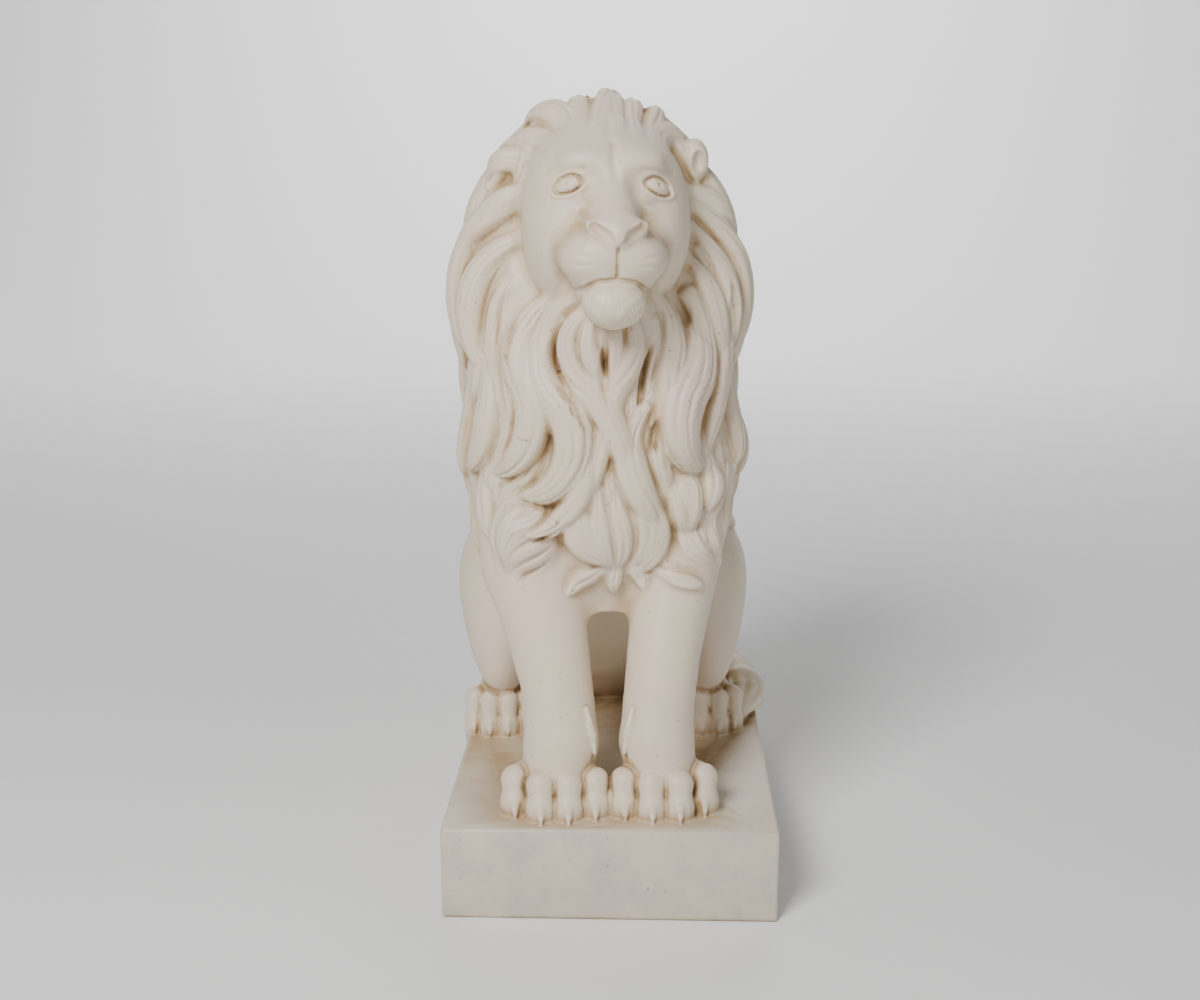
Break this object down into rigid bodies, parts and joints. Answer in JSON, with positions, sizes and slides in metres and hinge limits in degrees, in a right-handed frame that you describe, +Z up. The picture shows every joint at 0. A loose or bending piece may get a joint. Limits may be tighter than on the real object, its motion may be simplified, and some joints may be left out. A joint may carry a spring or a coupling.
{
  "type": "seated lion sculpture",
  "caption": "Cast seated lion with a deep carved mane, upright forelegs and a curled tail, in one piece with its rectangular plinth.",
  "frame": {"origin": "centre of the plinth's underside", "axes": "+Z up, -Y the way the lion faces, +X towards the tail's tuft"},
  "size_m": [0.1639, 0.24, 0.3619],
  "materials": {
    "cast_stone": "satin ivory cast stone with darker tan in the creases"
  },
  "bodies": {
    "root": {"lion_on_plinth": "cast_stone"}
  },
  "joints": []
}
